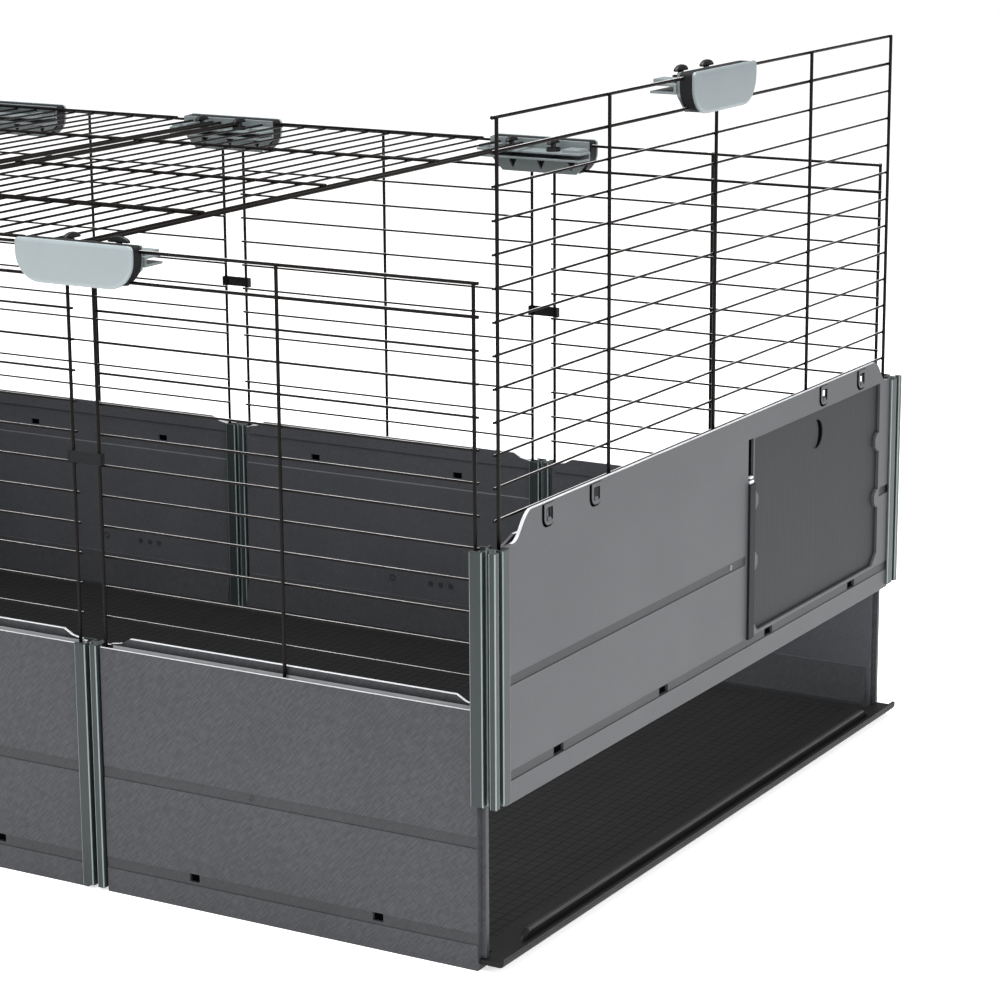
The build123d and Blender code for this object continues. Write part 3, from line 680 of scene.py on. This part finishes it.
def roofMesh(node):
    low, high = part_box(node)
    middle = -moduleLength if node == "roof_left" else 0.0
    left, right = middle - moduleLength / 2, middle + moduleLength / 2
    top = high[2] - 2 * mesh["rod"]  # level on which the cross rods lie
    bm = bmesh.new()
    for inset in roof["edges"]:
        for x in (left + inset, right - inset):
            addRod(bm, (x, low[1], top - mesh["rod"]), (x, high[1], top - mesh["rod"]), mesh["rod"])
    span = moduleLength - 2 * roof["edges"][1]
    crossings = list(roof["crossAt"])
    ends = (low[1] + 1.8 * mm, high[1] - 1.8 * mm)
    places = []
    for wire in range(roof["wires"]):
        x = left + roof["edges"][1] + span * (wire + 1) / (roof["wires"] + 1)
        places.append(x)
        addRod(bm, (x, low[1], top - mesh["thin"]), (x, high[1], top - mesh["thin"]), mesh["thin"])
    over = top + mesh["rod"] * 0.9
    for y in crossings:
        addRod(bm, (left + roof["endsAt"], y, over), (right - roof["endsAt"], y, over), mesh["rod"])
        for x in places:
            addWeld(bm, (x, y, top), (1.3 * mm, 1.3 * mm, 0.7 * mm))
    first = left + (roof["endsAt"] if node == "roof_left" else roof["clearOfClamp"])
    for y in ends:
        addRod(bm, (first, y, over), (right - roof["clearOfClamp"], y, over), mesh["rod"])
    piece = makePiece(node + "_rods", bm, bodyOf[node], wireMaterial, 50)
    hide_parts(node)


roofMesh("roof_middle")
roofMesh("roof_left")
print("roof meshes built")

# wing knobs: a pin, a disc and a low round-topped wing
knob = {
    "disc": 6.5 * mm,
    "discThick": 1.8 * mm,
    "pin": 2.5 * mm,
    "wingHalf": 10 * mm,
    "wingThick": 3.8 * mm,
    "wingRise": 0.5,  # height of the wing as a share of its half width
    "wingEdge": 1.1 * mm,
    "pinRise": 15 * mm,
    "discRise": 8 * mm,
    "gap": 0.3 * mm,
    "low": 2.2 * mm,  # how far the wing stays under the top of its box
}


def wingKnob(node):
    low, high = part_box(node)
    centre = Vector(((low[0] + high[0]) / 2, (low[1] + high[1]) / 2, 0))
    lengthwise = high[0] - low[0] > high[1] - low[1]
    bm = bmesh.new()
    pinTop = low[2] + knob["pinRise"]
    discAt = low[2] + knob["discRise"] + knob["gap"] + knob["discThick"] / 2
    addRod(bm, centre + Vector((0, 0, low[2])), centre + Vector((0, 0, pinTop)), knob["pin"], 16)
    addRod(
        bm, centre + Vector((0, 0, discAt - knob["discThick"] / 2)),
        centre + Vector((0, 0, discAt + knob["discThick"] / 2)), knob["disc"], 24,
    )
    wing = bmesh.new()
    bmesh.ops.create_circle(wing, cap_ends=True, segments=32, radius=knob["wingHalf"])
    bmesh.ops.scale(wing, vec=(1.0, knob["wingRise"], 1.0), verts=wing.verts)
    whole = wing.verts[:] + wing.edges[:] + wing.faces[:]
    bmesh.ops.bisect_plane(wing, geom=whole, plane_co=(0, 0, 0), plane_no=(0, 1, 0), clear_inner=True)
    grown = bmesh.ops.extrude_face_region(wing, geom=wing.faces[:])
    raised = [v for v in grown["geom"] if isinstance(v, bmesh.types.BMVert)]
    bmesh.ops.translate(wing, vec=(0, 0, knob["wingThick"]), verts=raised)
    bmesh.ops.recalc_face_normals(wing, faces=wing.faces)
    sharp = [e for e in wing.edges if e.calc_face_angle(0) > radians(40)]
    bmesh.ops.bevel(
        wing, geom=sharp, offset=knob["wingEdge"], segments=3, profile=0.5, affect="EDGES", material=-1
    )
    upright = Matrix.Rotation(pi / 2, 4, "X")
    turn = Matrix.Identity(4) if lengthwise else Matrix.Rotation(pi / 2, 4, "Z")
    wingFoot = high[2] - knob["low"] - knob["wingHalf"] * knob["wingRise"]
    lift = Matrix.Translation(centre + Vector((0, 0, wingFoot)))
    centring = Matrix.Translation((0, knob["wingThick"] / 2, 0))
    bmesh.ops.transform(wing, matrix=lift @ turn @ centring @ upright, verts=wing.verts)
    wingMesh = bpy.data.meshes.new("wing")
    wing.to_mesh(wingMesh)
    wing.free()
    bm.from_mesh(wingMesh)
    bpy.data.meshes.remove(wingMesh)
    piece = makePiece(node + "_wing", bm, bodyOf[node], knobMaterial, 40)
    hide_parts(node)


for node in nodes:
    if node.startswith("knob_"):
        wingKnob(node)
print("knobs built")


# corner points of a rounded plate, anticlockwise from its lower right corner
def roundedLoop(width, height, lower, upper, steps=8):
    points = []
    for corner, radius in enumerate((lower, upper, upper, lower)):
        side = 1 if corner in (0, 1) else -1
        level = 1 if corner in (1, 2) else -1
        for step in range(steps + 1):
            angle = (corner - 1) * pi / 2 + step / steps * pi / 2
            u = side * (width / 2 - radius) + radius * cos(angle)
            points.append((u, level * (height / 2 - radius) + radius * sin(angle)))
    return points


# a plate of that outline, with an optional hole; place turns (u, depth, v) into the frame
def addPlate(bm, outline, thickness, place, hole=None):
    part = bmesh.new()
    loops = []
    for points in (outline, hole):
        if points:
            verts = [part.verts.new((u, 0, v)) for u, v in points]
            loops.append([part.edges.new((verts[i - 1], verts[i])) for i in range(len(verts))])
    if hole:
        bmesh.ops.bridge_loops(part, edges=loops[0] + loops[1])
    else:
        bmesh.ops.contextual_create(part, geom=loops[0])
    grown = bmesh.ops.extrude_face_region(part, geom=part.faces[:])
    moved = [v for v in grown["geom"] if isinstance(v, bmesh.types.BMVert)]
    bmesh.ops.translate(part, vec=(0, thickness, 0), verts=moved)
    bmesh.ops.recalc_face_normals(part, faces=part.faces)
    bmesh.ops.transform(part, matrix=place, verts=part.verts)
    if place.determinant() < 0:
        bmesh.ops.reverse_faces(part, faces=part.faces)
    join(bm, part)


def join(bm, part):
    carrier = bpy.data.meshes.new("carrier")
    part.to_mesh(carrier)
    part.free()
    bm.from_mesh(carrier)
    bpy.data.meshes.remove(carrier)


# connectors: a rounded face plate with a sloping rim over a rubber block of the same outline
clamp = {
    "width": 108 * mm,
    "height": 33 * mm,
    "lower": 22 * mm,
    "upper": 3.5 * mm,
    "rim": 2.6 * mm,
    "rimDepth": 1.1 * mm,
    "softEdge": 0.5 * mm,
}
frontClamps = (-439 * mm, -175 * mm, 175 * mm)


# along is the centre of the plate on its wall
def clampPlace(node, along):
    low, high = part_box(node)
    middle = [(low[axis] + high[axis]) / 2 for axis in range(3)]
    if node.endswith("side"):
        return Matrix.Translation((low[0], 0.0, middle[2])) @ Matrix.Rotation(-pi / 2, 4, "Z")
    if node.endswith("front"):
        return Matrix.Translation((along, high[1], middle[2])) @ Matrix.Rotation(pi, 4, "Z")
    return Matrix.Translation((along, low[1], middle[2]))


def clampPieces(side):
    places = (0.0,) if side == "side" else frontClamps
    faceBm, gripBm = bmesh.new(), bmesh.new()
    faceLow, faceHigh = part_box("face_" + side)
    gripLow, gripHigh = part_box("grip_" + side)
    across = 0 if side == "side" else 1
    skin = connectorPaintedShadeMaterial if side == "side" else connectorMaterial
    for along in places:
        outline = roundedLoop(clamp["width"], clamp["height"], clamp["lower"], clamp["upper"])
        plate = bmesh.new()
        thickness = faceHigh[across] - faceLow[across]
        addPlate(plate, outline, thickness - clamp["rimDepth"], Matrix.Identity(4))
        outer = [f for f in plate.faces if f.normal.y > 0.9]
        bmesh.ops.inset_region(plate, faces=outer, thickness=clamp["rim"], depth=clamp["rimDepth"])
        rims = [e for e in plate.edges if e.calc_face_angle(0) > radians(15)]
        bmesh.ops.bevel(
            plate, geom=rims, offset=clamp["softEdge"], segments=2, profile=0.5, affect="EDGES", material=-1
        )
        bmesh.ops.transform(plate, matrix=clampPlace("face_" + side, along), verts=plate.verts)
        join(faceBm, plate)
        block = bmesh.new()
        blockOutline = roundedLoop(
            clamp["width"] - 1 * mm, clamp["height"] - 1 * mm, clamp["lower"] - 0.5 * mm, clamp["upper"]
        )
        addPlate(block, blockOutline, gripHigh[across] - gripLow[across], Matrix.Identity(4))
        bmesh.ops.transform(block, matrix=clampPlace("grip_" + side, along), verts=block.verts)
        join(gripBm, block)
    facePiece = makePiece(
        "face_" + side + "_plates", faceBm, bodyOf["face_" + side], skin, 30
    )
    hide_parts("face_" + side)
    gripPiece = makePiece(
        "grip_" + side + "_blocks", gripBm, bodyOf["grip_" + side], rubberMaterial, 30
    )
    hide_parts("grip_" + side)


for side in ("front", "back", "side"):
    clampPieces(side)
print("connectors built")

# clips in the windows of the end walls, each over a near-black plate set off left and down: a painted shadow
# round each clip
window = {
    "places": (-278 * mm, -207 * mm, 198 * mm, 276 * mm),
    "level": 211.5 * mm,
    "skin": 532 * mm,
    # outlines: width, height, lower and upper corner radius in mm
    "hole": (9.5, 10, 1.2, 0.8),
    # the gap plate is near black, a painted shadow round the clip, set off by gapShift
    "gap": (18, 17.5, 7, 0.8),
    "rim": (15, 16, 6, 0.8),
    "tab": (5, 3, 0.8, 0.8),
    "gapShift": (1.2 * mm, 0.6 * mm),
    "tabDrop": 4 * mm,
}
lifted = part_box("side_wall_right")[0][2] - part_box("side_wall_left")[0][2]


def outlineOf(spec, steps):
    return roundedLoop(*(part * mm for part in spec), steps)


def endPlace(node, y, z, depth):
    right = node.endswith("right")
    turn = Matrix.Rotation(-pi / 2 if right else pi / 2, 4, "Z")
    level = z + (lifted if right else 0.0)
    spot = (depth, y, level) if right else (-depth, -y, level)
    return Matrix.Translation(spot) @ turn


def windowClips(node):
    dark, light = bmesh.new(), bmesh.new()
    hole, gap, rim = (outlineOf(window[name], 6) for name in ("hole", "gap", "rim"))
    tab = outlineOf(window["tab"], 4)
    level, skin = window["level"], window["skin"]
    left, down = window["gapShift"]
    for y in window["places"]:
        # painted shadow: a near-black plate behind each clip
        addPlate(dark, gap, 0.25 * mm, endPlace(node, y - left, level - down, skin), hole)
        addPlate(light, rim, 0.6 * mm, endPlace(node, y, level, skin), hole)
        tabPlace = endPlace(node, y, level - window["tabDrop"], skin - 1.2 * mm)
        addPlate(light, tab, 1.6 * mm, tabPlace)
    makePiece(node + "_window_painted_shadows", dark, bodyOf[node], shadowMaterial)
    makePiece(node + "_window_clips", light, bodyOf[node], endPaint)


latchForm = {
    "depth": 530.6 * mm,
    # outline, thickness and place (y, z) of its two parts
    "parts": (
        ((7, 2.6, 0.8, 0.8), 2.6 * mm, (56 * mm, 165.4 * mm)),
        ((5, 2, 0.6, 0.6), 2.2 * mm, (56.5 * mm, 169 * mm)),
    ),
}
recess = {
    "at": (190 * mm, 179 * mm, 527.75 * mm),
    "reach": 12 * mm,
    "shift": 0.5 * mm,
    "steps": 20,
    "swing": 0.5 * pi - 0.22,
    "hollow": 0.62,
}


# the latch on the door's rail and the shadowed side of the door's finger recess
def doorDetails(node, door):
    latch = bmesh.new()
    for spec, thickness, (y, z) in latchForm["parts"]:
        addPlate(latch, outlineOf(spec, 4), thickness, endPlace(node, y, z, latchForm["depth"]))
    makePiece(node + "_latch", latch, bodyOf[node], latchMaterial)
    crescent = bmesh.new()
    steps = recess["steps"]
    angles = [recess["swing"] * (2 * i / steps - 1) for i in range(steps + 1)]
    outer = [(-recess["reach"] * cos(a), recess["reach"] * sin(a)) for a in angles]
    inner = [(u * recess["hollow"] + recess["shift"], v) for u, v in reversed(outer[1:-1])]
    addPlate(crescent, outer + inner, 0.5 * mm, endPlace(node, *recess["at"]))
    makePiece(door + "_recess_shade", crescent, bodyOf[door], shadowMaterial)


for end in ("right", "left"):
    windowClips("side_wall_" + end)
    doorDetails("side_wall_" + end, "door_" + end)
print("end walls detailed")

# small moulded marks: a screw seat in the band of each wall, a boss and three dots inside
mark = {
    "seat": 2.2 * mm,
    "seatHole": 1.1 * mm,
    "boss": 3.4 * mm,
    "bossHole": 0.7,  # share of the boss
    "dot": 2.7 * mm,
    "dots": 3,
    "dotPitch": 11.4 * mm,
    "thick": 0.5 * mm,
    "inner": 344.7 * mm,
    "outer": 356.3 * mm,
    # places along the wall from its middle, and heights
    "bossAt": (7 * mm, 62 * mm),
    "dotsAt": (51 * mm, 61.5 * mm),
    "seatAt": (-28 * mm, 97.5 * mm),
    "endSeatAt": (22 * mm, 101.5 * mm, 531.3 * mm),
}


def roundLoop(radius):
    return roundedLoop(2 * radius, 2 * radius, radius, radius, 4)


def wallMarks(node):
    outward = 1 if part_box(node)[1][1] > 0 else -1
    middle = (0.0 if "middle" in node else moduleLength if "right" in node else -moduleLength)
    turn = Matrix.Identity(4) if outward > 0 else Matrix.Rotation(pi, 4, "Z")
    bm = bmesh.new()

    def add(outline, at, depth, hole=None):
        place = Matrix.Translation((middle + at[0], outward * depth, at[1])) @ turn
        addPlate(bm, outline, mark["thick"], place, hole)

    add(roundLoop(mark["boss"]), mark["bossAt"], mark["inner"], roundLoop(mark["boss"] * mark["bossHole"]))
    for step in range(mark["dots"]):
        dotAt = (mark["dotsAt"][0] + step * mark["dotPitch"], mark["dotsAt"][1])
        add(roundLoop(mark["dot"]), dotAt, mark["inner"])
    add(roundLoop(mark["seat"]), mark["seatAt"], mark["outer"], roundLoop(mark["seatHole"]))
    makePiece(node + "_marks", bm, bodyOf[node], wallBandPaint)


for node in nodes:
    if node.startswith("wall_"):
        wallMarks(node)
for end in ("right", "left"):
    wall = "side_wall_" + end
    seat = bmesh.new()
    seatAt = endPlace(wall, *mark["endSeatAt"])
    addPlate(seat, roundLoop(mark["seat"]), mark["thick"], seatAt, roundLoop(mark["seatHole"]))
    makePiece(wall + "_seat", seat, bodyOf[wall], bracketMaterial)
print("marks added")

# the one CAD node that stays
clips = nodes["wire_clips"].data
clips.materials.clear()
clips.materials.append(clipMaterial)
